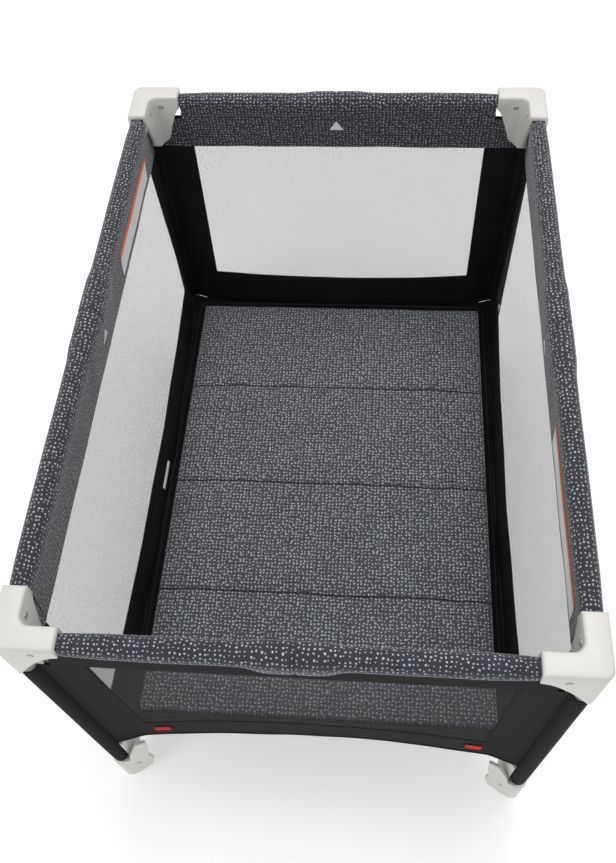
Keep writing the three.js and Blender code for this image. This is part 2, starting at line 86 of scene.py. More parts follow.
RAIL_Z = centre("top_rail_front_a").z
LEG_X = centre("leg_tube_front_right").x
LEG_Y = centre("leg_tube_back_right").y
TONGUE_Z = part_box("corner_bracket_front_left")[0].z
RIM_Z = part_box("wall_front")[0].z
HEM_CORNER_Z, HEM_SAG = 0.1923, 0.020  # hem over the feet, and its drop in mid-span
KNEE_Z = RAIL_Z - 0.098  # a wall is upright above this
INSET_ENDS, INSET_SIDES = 0.036, 0.026  # hem inward of the leg axes, in mid-span
INSET_CORNER, INSET_RAMP = 0.012, 0.060  # the same near a leg, and where it fades away
ARM_END = 0.0645  # end of a corner bracket's arm, from the leg's axis
JOINTS = [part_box(f"pad_panel_{number}")[1].y for number in (1, 2, 3)]
LEG_SLEEVE_R = 0.0133


class Side:
    """One side of the playpen, with points given along it, inward from it and by height."""

    def __init__(self, name):
        corner, (ex, ey) = SIDE_STARTS[name]
        sx, sy = CORNERS[corner]
        self.name, self.leg = name, "leg_" + corner
        self.start = Vector((sx * LEG_X, sy * LEG_Y))
        self.along, self.inward = Vector((ex, ey)), Vector((-ey, ex))
        self.length = 2 * (LEG_X if ex else LEG_Y)
        low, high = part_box("latch_housing_" + name)
        self.latch_half = (high.x - low.x if ex else high.y - low.y) / 2
        self.inset = INSET_ENDS if ex else INSET_SIDES
        self.window_side = 0.0725 if ex else 0.060

    def at(self, s, t, z):
        flat = self.start + self.along * s + self.inward * t
        return Vector((flat.x, flat.y, z))


SIDES = [Side(name) for name in SIDE_STARTS]
print("sides", [(side.name, round(side.length, 3)) for side in SIDES])

# %% [markdown]
# ## Camera, floor and light
# A standing adult looks down into the playpen, so the camera is high and close with a normal lens.
# The light is a bright, even studio: one broad soft source above and a pale world around it.

# %% Camera
EYE = Vector((0.0872, -0.8107, 1.730))
TURN, TILT, ROLL = math.radians(8.21), math.radians(56.93), math.radians(-5.23)
LENS, SENSOR = 37.0, 36.0
SHIFT = (0.0005, -0.0234)

lens = bpy.data.cameras.new("camera")
lens.lens, lens.sensor_width = LENS, SENSOR
lens.shift_x, lens.shift_y = SHIFT
camera = bpy.data.objects.new("camera", lens)
bpy.context.scene.collection.objects.link(camera)
camera.location = EYE
camera.rotation_euler = (
    Matrix.Rotation(TURN, 3, "Z")
    @ Matrix.Rotation(math.pi / 2 - TILT, 3, "X")
    @ Matrix.Rotation(ROLL, 3, "Z")
).to_euler()
bpy.context.scene.camera = camera

# %% Light and floor
world = bpy.data.worlds.new("studio")
bpy.context.scene.world = world
world.use_nodes = True
world.node_tree.nodes["Background"].inputs["Color"].default_value = (1.0, 1.0, 1.0, 1)
world.node_tree.nodes["Background"].inputs["Strength"].default_value = 0.55
bpy.context.scene.view_settings.view_transform = "Standard"


def soft_light(name, place, target, size, power):
    data = bpy.data.lights.new(name, "AREA")
    data.shape, data.size, data.energy = "DISK", size, power
    lamp = bpy.data.objects.new(name, data)
    lamp.location = place
    lamp.rotation_euler = (Vector(target) - Vector(place)).to_track_quat("-Z", "Y").to_euler()
    bpy.context.scene.collection.objects.link(lamp)


soft_light("overhead", (0.3, 0.5, 3.2), (0, 0, 0.2), 2.2, 48)
soft_light("front_fill", (-1.8, -2.2, 2.4), (0, 0, 0.4), 1.6, 16)

# %% [markdown]
# ## Tools for shader maths
# A node tree is easier to read as sums. `Wire` wraps a socket and overloads the operators that are
# used, and `Finish` makes every other node from its type, its settings and its inputs.


# %% Wire and Finish
class Wire:
    """A node's output that can be used in sums."""

    def __init__(self, finish, socket):
        self.finish, self.socket = finish, socket

    def math(self, operation, *others, reflected=False):
        values = [self, *others][:: -1 if reflected else 1]
        return self.finish.node("ShaderNodeMath", {"operation": operation}, dict(enumerate(values)))

    def __add__(self, other):
        return self.math("ADD", other)

    def __sub__(self, other):
        return self.math("SUBTRACT", other)

    def __rsub__(self, other):
        return self.math("SUBTRACT", other, reflected=True)

    def __mul__(self, other):
        return self.math("MULTIPLY", other)

    def __truediv__(self, other):
        return self.math("DIVIDE", other)

    __radd__, __rmul__ = __add__, __mul__

    def clamped(self):
        return self.math("ADD", 0.0).also(use_clamp=True)

    def also(self, **settings):
        for key, value in settings.items():
            setattr(self.socket.node, key, value)
        return self


class Finish:
    """A material that is made node by node."""

    def __init__(self, name):
        self.material = bpy.data.materials.new(name)
        self.material.use_nodes = True
        self.tree = self.material.node_tree
        self.tree.nodes.clear()

    def node(self, kind, settings=None, inputs=None, output=0):
        made = self.tree.nodes.new(kind)
        for key, value in (settings or {}).items():
            setattr(made, key, value)
        for key, value in (inputs or {}).items():
            if isinstance(value, Wire):
                self.tree.links.new(value.socket, made.inputs[key])
            else:
                made.inputs[key].default_value = value
        return Wire(self, made.outputs[output])

    def place(self, uv=False):
        return self.node("ShaderNodeTexCoord", output="UV" if uv else "Object")

    def noise(self, where, scale, detail=2.0, rough=0.5, dims="3D"):
        inputs = {"Vector": where, "Scale": scale, "Detail": detail, "Roughness": rough}
        return self.node("ShaderNodeTexNoise", {"noise_dimensions": dims}, inputs)

    def mix(self, mask, first, second):
        inputs = {0: mask, 6: first, 7: second}
        return self.node("ShaderNodeMix", {"data_type": "RGBA"}, inputs, output=2)

    def bump(self, height, strength, distance):
        return self.node("ShaderNodeBump", {}, {"Height": height, "Strength": strength, "Distance": distance})

    def surface(self, **inputs):
        named = {key.replace("_", " "): value for key, value in inputs.items()}
        shader = self.node("ShaderNodeBsdfPrincipled", {}, named)
        end = self.tree.nodes.new("ShaderNodeOutputMaterial")
        self.tree.links.new(shader.socket, end.inputs["Surface"])
        return self.material


# %% [markdown]
# ## Finishes
# The rail covers and the pad share one print: small pale pebbles, each an uneven oval, on dark slate
# cloth. A cell pattern gives one pebble to a cell, and a little noise on its coordinates squeezes
# each circle into a pebble. The cover's pattern follows the cloth's own UV map, so it wraps the roll.
# On the pad a thin dark line wanders along each sewn crease: painted shade that stands in for the shadow in
# the sunk crease.

# %% Printed cloth
PEBBLE_STEP = 0.0060
PEBBLE_SPREAD = 0.11  # how much pebbles differ, as a share of the step
# Width, fade and wander of the painted shade line along each pad crease.
CREASE_SHADE_HALF, CREASE_SHADE_FADE, CREASE_SHADE_WANDER = 0.0012, 0.0016, 0.010
PEBBLE = (0.42, 0.435, 0.465, 1)


def printed_cloth(name, ground, uv, step=PEBBLE_STEP, pebble=PEBBLE, reach=0.20, creases=()):
    cloth = Finish(name)
    where = cloth.place(uv)
    wobble = cloth.node("ShaderNodeTexNoise", {"noise_dimensions": "2D"},
                        {"Vector": where, "Scale": 0.62 / step, "Detail": 1.0}, output="Color")
    centred = cloth.node("ShaderNodeVectorMath", {"operation": "SUBTRACT"}, {0: wobble, 1: (0.5, 0.5, 0.5)})
    pushed = cloth.node("ShaderNodeVectorMath", {"operation": "SCALE"}, {0: centred, "Scale": step * 0.35})
    warped = cloth.node("ShaderNodeVectorMath", {"operation": "ADD"}, {0: where, 1: pushed})
    cells = {"Vector": warped, "Scale": 1 / step, "Randomness": 0.5}
    distance = cloth.node("ShaderNodeTexVoronoi", {"voronoi_dimensions": "2D"}, cells, output="Distance")
    tint = cloth.node("ShaderNodeTexVoronoi", {"voronoi_dimensions": "2D"}, cells, output="Color")
    chance = cloth.node("ShaderNodeSeparateXYZ", {}, {0: tint})
    radius = reach + PEBBLE_SPREAD * chance
    dot = ((radius - distance) / 0.07).clamped()
    heather = cloth.noise(where, 22, 3.0, 0.6)
    grain = cloth.noise(where, 1100, 1.0)
    dark = tuple(channel * 0.62 for channel in ground[:3]) + (1,)
    base = cloth.mix((heather * 1.6 - 0.3).clamped(), dark, ground)
    line = cloth.node("ShaderNodeSeparateXYZ", {}, {0: where}, output=1)
    line = line + (cloth.noise(where, 14, 2.0) - 0.5) * CREASE_SHADE_WANDER
    # seam is the painted crease shade: a near-black line along each crease that stands in for its shadow.
    seam = line * 0.0
    for y in creases:
        off = (line - y).math("ABSOLUTE") - CREASE_SHADE_HALF
        seam = seam.math("MAXIMUM", (1.0 - off / CREASE_SHADE_FADE).clamped())
    # Near the creases the colour is mixed towards near-black: painted shade in the creases.
    colour = cloth.mix(seam * 0.85, cloth.mix(dot, base, pebble), (0.006, 0.006, 0.008, 1))
    height = grain * 0.6 + cloth.noise(where, 240, 2.0) * 0.4
    normal = cloth.bump(height, 0.35, 0.0006)
    return cloth.surface(Base_Color=colour, Roughness=0.86 - 0.18 * dot, Normal=normal,
                         Sheen_Weight=0.25, Sheen_Roughness=0.5)


cover_cloth = printed_cloth("pebble print on the rail covers", (0.028, 0.031, 0.043, 1), uv=True, reach=0.16)
pad_cloth = printed_cloth("pebble print on the pad", (0.075, 0.081, 0.097, 1), uv=False, step=0.0066,
                          pebble=(0.44, 0.455, 0.48, 1), creases=JOINTS)

# %% [markdown]
# Black cloth makes the solid strips, leg sleeves and floor. A fine ribbed weave catches a little
# light, and broad noise lets the strips look handled instead of painted.


# %% Black cloth, net and webbing
def woven(name, colour, rib, strength=0.4, roughness=0.9):
    cloth = Finish(name)
    where = cloth.place()
    warp = cloth.node("ShaderNodeTexWave", {"wave_type": "BANDS", "bands_direction": "DIAGONAL"},
                      {"Vector": where, "Scale": rib, "Distortion": 0.6, "Detail": 1.0}, output="Fac")
    worn = cloth.noise(where, 14, 3.0)
    lighter = tuple(min(1, channel * 1.9 + 0.003) for channel in colour[:3]) + (1,)
    tone = cloth.mix((worn * 1.5 - 0.35).clamped(), colour, lighter)
    normal = cloth.bump(warp + cloth.noise(where, 500, 1.0) * 0.5, strength, 0.0004)
    return cloth.surface(Base_Color=tone, Roughness=roughness, Normal=normal, Specular_IOR_Level=0.25)


black_cloth = woven("black woven cloth", (0.0042, 0.0042, 0.0048, 1), 900)
binding_cloth = woven("black binding tape", (0.006, 0.006, 0.0066, 1), 1500, 0.6)
webbing_cloth = woven("grey webbing", (0.03, 0.03, 0.032, 1), 1200, 0.8)
red_tape = woven("red woven tape", (0.42, 0.022, 0.02, 1), 1400, 0.6)

NET_PERIOD = 0.0024


def net():
    mesh = Finish("black knitted net")
    where = mesh.place(uv=True)
    axes = [mesh.node("ShaderNodeSeparateXYZ", {}, {0: where}, output=axis) for axis in (0, 1)]
    diagonals = [(axes[0] + axes[1]) / NET_PERIOD, (axes[0] - axes[1]) / NET_PERIOD]
    threads = [((line.math("FRACT") - 0.5).math("ABSOLUTE") - 0.335) / 0.05 for line in diagonals]
    covered = threads[0].clamped().math("MAXIMUM", threads[1].clamped())
    normal = mesh.bump(covered, 0.5, 0.0004)
    return mesh.surface(Base_Color=(0.022, 0.022, 0.024, 1), Roughness=0.8, Alpha=covered, Normal=normal)


net_cloth = net()

# %% [markdown]
# The corner and foot brackets are moulded in a warm, pale grey plastic: satin, with the faint
# unevenness of a large moulding. The tubes are painted steel and the latches dark nylon.


# %% Plastics and steel
def moulded(name, colour, roughness, speckle=0.06, coat=0.0):
    plastic = Finish(name)
    where = plastic.place()
    broad = plastic.noise(where, 18, 3.0)
    fine = plastic.noise(where, 700, 2.0)
    dark = tuple(channel * (1 - speckle) for channel in colour[:3]) + (1,)
    tone = plastic.mix((broad * 1.4 - 0.2).clamped(), dark, colour)
    normal = plastic.bump(fine, 0.12, 0.0003)
    return plastic.surface(Base_Color=tone, Roughness=roughness - 0.08 + 0.16 * broad, Normal=normal,
                           Coat_Weight=coat)


bracket_plastic = moulded("warm pale grey plastic", (0.67, 0.655, 0.625, 1), 0.42, 0.05)
latch_plastic = moulded("dark nylon", (0.03, 0.03, 0.032, 1), 0.5)
button_plastic = moulded("red button plastic", (0.50, 0.03, 0.025, 1), 0.4)
label_white = moulded("blank label cloth", (0.93, 0.93, 0.93, 1), 0.6, 0.03)
label_orange = moulded("orange label header", (0.80, 0.22, 0.08, 1), 0.6, 0.08)


def painted_steel():
    steel = Finish("grey painted steel")
    where = steel.place()
    peel = steel.noise(where, 420, 2.0)
    scuff = steel.noise(where, 60, 4.0, 0.7)
    tone = steel.mix((scuff * 3 - 1.4).clamped(), (0.19, 0.195, 0.20, 1), (0.27, 0.27, 0.275, 1))
    return steel.surface(Base_Color=tone, Metallic=0.35, Roughness=0.32 + 0.2 * scuff,
                         Normal=steel.bump(peel, 0.1, 0.0003))


def bright_rivet():
    metal = Finish("nickel rivet")
    where = metal.place()
    scuff = metal.noise(where, 900, 3.0)
    return metal.surface(Base_Color=(0.55, 0.55, 0.54, 1), Metallic=0.9, Roughness=0.25 + 0.25 * scuff)


steel_paint = painted_steel()
rivet_metal = bright_rivet()
print("finishes", len(bpy.data.materials))

# %% [markdown]
# ## Helpers for making pieces
# `loft` joins rows of points into a skin with its own UV map, in metres along and around the cloth.
# `attach` hangs a finished piece on the empty of the body that it moves with.


# %% Mesh helpers
def choose(piece):
    bpy.ops.object.select_all(action="DESELECT")
    piece.select_set(True)
    bpy.context.view_layer.objects.active = piece


def apply_modifiers(piece):
    choose(piece)
    for modifier in list(piece.modifiers):
        bpy.ops.object.modifier_apply(modifier=modifier.name)


def smooth(piece, angle=None):
    choose(piece)
    if angle is None:
        bpy.ops.object.shade_smooth()
    else:
        bpy.ops.object.shade_smooth_by_angle(angle=math.radians(angle))


def face_outwards(piece):
    choose(piece)
    bpy.ops.object.mode_set(mode="EDIT")
    bpy.ops.mesh.select_all(action="SELECT")
    bpy.ops.mesh.normals_make_consistent(inside=False)
    bpy.ops.object.mode_set(mode="OBJECT")


def piece_of(name, points, faces, flat):
    """A mesh from points, faces and each point's (u, v) on the flat cloth."""
    data = bpy.data.meshes.new(name)
    data.from_pydata([tuple(p) for p in points], [], faces)
    layer = data.uv_layers.new(name="UVMap")
    for loop in data.loops:
        layer.data[loop.index].uv = flat[loop.vertex_index]
    data.update()
    piece = bpy.data.objects.new(name, data)
    bpy.context.scene.collection.objects.link(piece)
    return piece


def loft(name, rows, flat_rows, ring=False, ends=False):
    """Faces between neighbouring rows; ring closes each row, ends caps the first and last row."""
    count = len(rows[0])
    points = [p for row in rows for p in row]
    flat = [uv for row in flat_rows for uv in row]
    faces = []
    for i in range(len(rows) - 1):
        for j in range(count if ring else count - 1):
            k = (j + 1) % count
            faces.append((i * count + j, i * count + k, (i + 1) * count + k, (i + 1) * count + j))
    if ends:
        last = (len(rows) - 1) * count
        for j in range(count // 2 - 1):
            k = count - 1 - j
            faces.append((j, j + 1, k - 1, k))
            faces.append((last + j, last + k, last + k - 1, last + j + 1))
    return piece_of(name, points, faces, flat)


def refine(piece, levels):
    modifier = piece.modifiers.new("subdivision", "SUBSURF")
    modifier.levels = modifier.render_levels = levels
    apply_modifiers(piece)
    return piece


def dress(piece, material):
    piece.data.materials.clear()
    piece.data.materials.append(material)
    return piece


def ripple(x, y, z=0.0, size=0.05):
    return noise.noise(Vector((x, y, z)) / size)


def ease(x):
    x = max(0.0, min(1.0, x))
    return x * x * (3 - 2 * x)


def lean(side, s, z):
    """How far inward a wall stands, s along its side: upright behind the cover, drawn in below."""
    across, near = math.sin(math.pi * s / side.length), min(s, side.length - s)
    drop = max(0.0, (KNEE_Z - z) / (KNEE_Z - HEM_CORNER_Z))
    return drop * (INSET_CORNER + (side.inset - INSET_CORNER) * across) * min(1.0, near / INSET_RAMP)


# %% [markdown]
# ## Hard parts
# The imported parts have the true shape, cut in flat facets. A copy of each moulded part is welded,
# its coplanar facets are merged and its edges get a small moulder's radius; the copy then stands
# for the part. The plain tubes stay as they are and only take their paint.


# %% Moulded copies
def softened(node, radius, material, segments=2):
    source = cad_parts[node]
    piece = source.copy()
    piece.data = source.data.copy()
    piece.parent = None
    for key in list(piece.keys()):
        del piece[key]
    piece.name = node + ".moulded"
    bpy.context.scene.collection.objects.link(piece)
    choose(piece)
    bpy.ops.object.mode_set(mode="EDIT")
    bpy.ops.mesh.select_all(action="SELECT")
    bpy.ops.mesh.remove_doubles(threshold=0.00002)
    bpy.ops.mesh.dissolve_limited(angle_limit=math.radians(1.5))
    bpy.ops.object.mode_set(mode="OBJECT")
    bevel = piece.modifiers.new("radius", "BEVEL")
    bevel.width, bevel.segments, bevel.angle_limit = radius, segments, math.radians(28)
    apply_modifiers(piece)
    smooth(piece, 40)
    dress(piece, material)
    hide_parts(node)
    return piece


for corner in CORNERS:
    for kind, radius in (("corner_bracket_", 0.0016), ("foot_bracket_", 0.0018)):
        bracket = softened(kind + corner, radius, bracket_plastic)
        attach(bracket, "leg_" + corner)
for side in SIDES:
    housing = softened("latch_housing_" + side.name, 0.0009, latch_plastic)
    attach(housing, "latch_" + side.name)
    button = softened("latch_button_" + side.name, 0.0012, button_plastic)
    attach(button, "latch_button_" + side.name)
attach(softened("center_hub", 0.0012, latch_plastic), "hub")

for name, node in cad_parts.items():
    if name.startswith(("leg_tube", "top_rail", "lower_rail")):
        node.data.materials.clear()
        node.data.materials.append(steel_paint)
        smooth(node, 35)

# %% [markdown]
# ### Rivets
# A rivet's head shows on both faces of each bracket arm, where the rail pivots, and low on each
# foot. One head is turned from a cylinder with a set-in rim and a domed middle, then copied.


# %% Rivet heads
def rivet_head():
    bpy.ops.object.select_all(action="DESELECT")
    bpy.ops.mesh.primitive_cylinder_add(vertices=20, radius=0.0042, depth=0.0016, location=(0, 0, 0))
    head = bpy.context.object
    head.name = "rivet_pattern"
    bpy.ops.object.mode_set(mode="EDIT")
    bpy.ops.mesh.select_all(action="DESELECT")
    bpy.ops.object.mode_set(mode="OBJECT")
    for face in head.data.polygons:
        face.select = face.normal.z > 0.9
    bpy.ops.object.mode_set(mode="EDIT")
    bpy.ops.mesh.inset(thickness=0.0009)
    bpy.ops.transform.translate(value=(0, 0, -0.0006))
    bpy.ops.mesh.inset(thickness=0.0004)
    bpy.ops.transform.translate(value=(0, 0, 0.0007))
    bpy.ops.mesh.inset(thickness=0.0012)
    bpy.ops.transform.translate(value=(0, 0, 0.0003))
    bpy.ops.object.mode_set(mode="OBJECT")
    smooth(head, 40)
    return head


RIVET = rivet_head()
PIVOT = 0.033
FACE = 0.0157
WING_TURN, WING_RIVET, WING_RIVET_Z = 0.35, 0.022, 0.075


def rivets(name, places, body):
    """Copies of the head, each at a point and facing a direction, joined into one piece."""
    copies = []
    for point, facing in places:
        copy = RIVET.copy()
        copy.data = RIVET.data.copy()
        bpy.context.scene.collection.objects.link(copy)
        turn = Vector(facing).to_track_quat("Z", "X").to_matrix().to_4x4()
        copy.data.transform(Matrix.Translation(point) @ turn)
        copies.append(copy)
    bpy.ops.object.select_all(action="DESELECT")
    for copy in copies:
        copy.select_set(True)
    bpy.context.view_layer.objects.active = copies[0]
    bpy.ops.object.join()
    copies[0].name = name
    dress(copies[0], rivet_metal)
    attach(copies[0], body)


for corner, (sx, sy) in CORNERS.items():
    x, y = sx * LEG_X, sy * LEG_Y
    c, n = math.cos(WING_TURN), math.sin(WING_TURN)
    out, back = WING_RIVET * c + FACE * n, WING_RIVET * n - FACE * c
    heads = [
        ((x - sx * PIVOT, y - sy * FACE, RAIL_Z), (0, -sy, 0)),
        ((x - sx * PIVOT, y + sy * FACE, RAIL_Z), (0, sy, 0)),
        ((x - sx * FACE, y - sy * PIVOT, RAIL_Z), (-sx, 0, 0)),
        ((x + sx * FACE, y - sy * PIVOT, RAIL_Z), (sx, 0, 0)),
        ((x - sx * out, y - sy * back, WING_RIVET_Z), (-sx * n, sy * c, 0)),
        ((x - sx * back, y - sy * out, WING_RIVET_Z), (sx * c, -sy * n, 0)),
    ]
    rivets("rivets_" + corner, heads, "leg_" + corner)
bpy.data.objects.remove(RIVET)
print("rivet heads", 6 * len(CORNERS))

# %% [markdown]
# ## Rail covers
# Each cover is a padded roll round the tube with a flat band that hangs inside. Both are drawn as a
# section with an outer and an inner skin and swept along the rail in short steps, with a slight swell
# and ripple in the foam. The roll grows over the latch housing. The band is in three pieces, one to each half
# rail and one to the latch, each riding on its own part.

# %% Cover section
# Points are (inward, up) in mm from the rail's axis, from the outer edge over the top to the inner one.
OUTER_SKIN = [(1, -27), (-5.5, -22.5), (-11.5, -14), (-15.4, -4), (-15.3, 4.2), (-11.6, 11.4), (-4.5, 15.5),
              (4, 15.7), (11.2, 11.6), (15.3, 4.5), (15.6, -7), (12, -26)]
INNER_SKIN = [(1.8, -25), (-4, -20), (-8.2, -13), (-10.8, -4), (-10.8, 3.5), (-8, 8.2), (-3, 10.8),
              (3, 10.9), (7.8, 8.2), (10.7, 3), (11, -7), (9, -26)]
OUTER_AT_LATCH = [(1, -37), (-9, -34), (-16.2, -22), (-18.4, -6), (-18, 5), (-13.5, 13.2), (-5, 18.3),
                  (4.6, 18.4), (13, 13.7), (18, 5.5), (18.4, -8), (15.8, -28)]
INNER_AT_LATCH = [(1.8, -34.5), (-7, -31), (-14.2, -21), (-15.8, -6), (-15.3, 4.5), (-11.3, 11),
                  (-4.2, 15.4), (4, 15.5), (11, 11.2), (15.2, 4.5), (15.8, -8), (13.4, -28)]
BAND_SKINS = ([(12.4, -16), (11.6, -26), (8, -58), (5.4, -96)],
              [(10.6, -16), (9.3, -26), (5.4, -58), (3.2, -96)])
BAND_AT_LATCH = ([(16.6, -16), (15.4, -28), (10, -59), (5.4, -96)],
                 [(14.9, -16), (13.4, -28), (7.2, -59), (3.2, -96)])
# Plain section, section over the latch, and how much it narrows beside a bracket.
ROLL = ((OUTER_SKIN, OUTER_AT_LATCH, 0.12), (INNER_SKIN, INNER_AT_LATCH, 0.06))
STRIP = tuple((plain, wide, 0.06) for plain, wide in zip(BAND_SKINS, BAND_AT_LATCH))
MM = 0.001
BAND, BAND_TOP = 0.096, 0.016  # the band's lower and upper edge below the rail's axis
TAPER = 0.060  # length of roll that narrows beside a bracket
SKIRT_RISE = 0.25  # how much the roll's lower edges rise there
SWELL, BAND_WAVE, BAND_DROP = 0.0006, 0.0014, 0.0012
BEND_OUT, BEND_IN = 0.006, 0.026  # distances outward and inward from the latch's edge; the points made from them are not used and the roll is not bent


def latch_share(side, s):
    """0 on the plain rail, 1 over the latch housing."""
    edge = side.length / 2 - side.latch_half
    return ease((min(s, side.length - s) - edge + 0.014) / 0.022)


def skins(side, s, layers):
    """Outer and inner skin, s along a side, as (inward, up) from the rail's axis in metres."""
    latch = latch_share(side, s)
    near = ease(1 - (min(s, side.length - s) - ARM_END) / TAPER)
    swell = SWELL * ripple(s, side.length, 0, 0.06)
    made = []
    for plain, wide, shrink in layers:
        skin = []
        for (t0, z0), (t1, z1) in zip(plain, wide):
            t, z = (t0 + (t1 - t0) * latch) * MM, (z0 + (z1 - z0) * latch) * MM
            scale = 1 - shrink * near * ease((z + 0.045) / 0.030)
            if layers is ROLL:
                z *= 1 - SKIRT_RISE * near * ease((-z - 0.010) / 0.010)
            low = max(0.0, -z / BAND)
            wave = BAND_WAVE * low * ripple(s, z, side.length, 0.09)
            drop = BAND_DROP * low * ripple(s, side.length, 2.0, 0.12)
            skin.append(Vector((t * scale + wave, z * scale + drop)))
        made.append(skin)
    return [p + p.normalized() * swell for p in made[0]], made[1]


def arc_lengths(points):
    total, lengths = 0.0, [0.0]
    for a, b in zip(points, points[1:]):
        total += (Vector(b) - Vector(a)).length * MM
        lengths.append(total)
    return lengths


AROUND = arc_lengths(OUTER_SKIN)
DOWN = [AROUND[-1] + length for length in arc_lengths(BAND_SKINS[0])]


def cover_row(side, s, layers):
    outer, inner = skins(side, s, layers)
    return [side.at(s, p.x, RAIL_Z + p.y) for p in outer + inner[::-1]]


def cover_piece(name, side, first, last, layers):
    steps = max(4, round((last - first) / 0.011))
    stations = [first + (last - first) * i / steps for i in range(steps + 1)]
    rows = [cover_row(side, s, layers) for s in stations]
    around = AROUND if layers is ROLL else DOWN
    flat = [[(s, v) for v in around + around[::-1]] for s in stations]
    cover = loft(name, rows, flat, ring=True, ends=True)
    face_outwards(cover)
    if layers is ROLL:
        refine(cover, 1)
    smooth(cover, 60)
    return dress(cover, cover_cloth)


def gather(piece):
    """Gives the piece its own copy of its mesh."""
    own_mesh(piece)


for side in SIDES:
    middle = side.length / 2
    edge = side.latch_half
    for half, sign in (("a", -1), ("b", 1)):
        reach = side.length / 2 - ARM_END - 0.0005
        far, close = middle + sign * reach, middle + sign * edge
        name = f"{side.name}_{half}"
        cover = cover_piece("rail_cover_" + name, side, min(far, middle), max(far, middle), ROLL)
        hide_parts("rail_sleeve_" + name, f"latch_cover_{side.name}")
        rail, latch = "top_rail_" + name, "latch_" + side.name
        side.at(middle + sign * (edge + BEND_OUT), 0, RAIL_Z)
        side.at(middle + sign * (edge - BEND_IN), 0, RAIL_Z)
        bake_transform(cover)
        band = cover_piece("cover_band_" + name, side, min(far, close), max(far, close), STRIP)
        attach(band, rail)
        gather(band)
        reach - edge
        DOWN[-1] - DOWN[0]
    band = cover_piece("latch_band_" + side.name, side, middle - edge, middle + edge, STRIP)
    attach(band, "latch_" + side.name)
    2 * edge
    DOWN[-1] - DOWN[0]
print("rail covers", 2 * len(SIDES))

# %% [markdown]
# ### Band ends
# Under each bracket the inner band carries on to the leg. A short strip of the same cloth fills
# that corner. It is sewn to the leg's sleeve, so it stays with the leg when the rail folds.


# %% Band ends
END_START, END_PAST_ARM, END_HEIGHT = 0.0212, 0.003, 0.066


def band_end(side, near):
    rows, flat = [], []
    start, stop = END_START, ARM_END + END_PAST_ARM
    for i in range(9):
        u = start + (stop - start) * i / 8
        s = u if near else side.length - u
        rows.append([side.at(s, 0.0030 + 0.0018 * i / 8 + 0.0040 * (j / 6) ** 2,
                             RAIL_Z - BAND + END_HEIGHT * j / 6) for j in range(7)])
        flat.append([(s, 0.10 + END_HEIGHT * (6 - j) / 6) for j in range(7)])
    end = loft(f"band_end_{side.name}_{'a' if near else 'b'}", rows, flat)
    thick = end.modifiers.new("cloth", "SOLIDIFY")
    thick.thickness, thick.offset = 0.0016, 0
    apply_modifiers(end)
    smooth(end, 50)
    dress(end, cover_cloth)
    name = side.leg if near else SIDE_ENDS[side.name]
    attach(end, name)
    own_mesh(end)


SIDE_ENDS = {"front": "leg_front_right", "right": "leg_back_right", "back": "leg_back_left",
             "left": "leg_front_left"}
for side in SIDES:
    band_end(side, True)
    band_end(side, False)


# %% [markdown]
# ## Walls
# A wall is a net window in a frame of black cloth: a strip beside each leg, one under the rail and a
# deep one at the floor, with a bound hem that sags between the feet. The frame is one sheet with a
# hole, given the cloth's thickness; the net is a second sheet that fills the hole.

# %% Wall shape
WINDOW_LOW, WINDOW_TOP = 0.280, RAIL_Z - 0.085
WALL_TOP = RAIL_Z - 0.030
NOTCH, NOTCH_RUN = 0.0286, 0.008
HEM_RUN = 0.027  # length over which the hem starts to sag
BROAD_WAVE, FINE_WAVE = 0.0022, 0.0008


def hem_height(side, s):
    """The hem is level over each foot bracket and sags between them."""
    near, t = min(s, side.length - s), s / side.length
    return HEM_CORNER_Z - HEM_SAG * 4 * t * (1 - t) * ease((near - NOTCH - NOTCH_RUN) / HEM_RUN)


def wall_inset(side, s, z):
    """The wall's lean, with the small ripples of stretched cloth below the cover."""
    across = math.sin(math.pi * s / side.length)
    wave = ripple(s, z, side.length, 0.16) * BROAD_WAVE + ripple(s, z * 0.4, side.length, 0.05) * FINE_WAVE
    return lean(side, s, z) + across * wave * ease((KNEE_Z - z) / 0.15)


def wall_top(side, s):
    """The top edge drops to the end of the bracket's tongue beside each leg."""
    rise = max(0.0, min(1.0, (min(s, side.length - s) - NOTCH) / NOTCH_RUN))
    return TONGUE_Z - 0.0003 + (WALL_TOP - TONGUE_Z) * rise


def spread(stops, step):
    """The stops, with even steps between them."""
    values = [stops[0]]
    for a, b in zip(stops, stops[1:]):
        count = max(1, round((b - a) / step))
        values += [a + (b - a) * i / count for i in range(1, count + 1)]
    return values


def wall_sheets(side):
    first, last = LEG_SLEEVE_R, side.length - LEG_SLEEVE_R
    left, right = side.window_side, side.length - side.window_side
    shoulder = NOTCH + NOTCH_RUN
    columns = spread([first, NOTCH, shoulder, left, right, side.length - shoulder, side.length - NOTCH, last],
                     0.014)
    heights = spread([0.0, WINDOW_LOW, WINDOW_TOP, WALL_TOP], 0.018)
    points, flat, faces, net_faces = [], [], [], []
    rows = []
    for s in columns:
        hem, top = hem_height(side, s), wall_top(side, s)
        column = []
        for z in heights:
            if z <= WINDOW_LOW:
                z = hem + (WINDOW_LOW - hem) * z / WINDOW_LOW
            elif z > WINDOW_TOP:
                share = (z - WINDOW_TOP) / (WALL_TOP - WINDOW_TOP)
                z = WINDOW_TOP + (max(top, WINDOW_TOP) - WINDOW_TOP) * share
            column.append((s, z))
        rows.append(column)
    for column in rows:
        for s, z in column:
            points.append(side.at(s, wall_inset(side, s, z), z))
            flat.append((s, z))
    tall = len(heights)
    for i in range(len(rows) - 1):
        for j in range(tall - 1):
            s, z = (rows[i][j][0] + rows[i + 1][j][0]) / 2, (rows[i][j][1] + rows[i][j + 1][1]) / 2
            quad = (i * tall + j, (i + 1) * tall + j, (i + 1) * tall + j + 1, i * tall + j + 1)
            open_here = left < s < right and WINDOW_LOW < z < WINDOW_TOP
            (net_faces if open_here else faces).append(quad)
    return points, flat, faces, net_faces


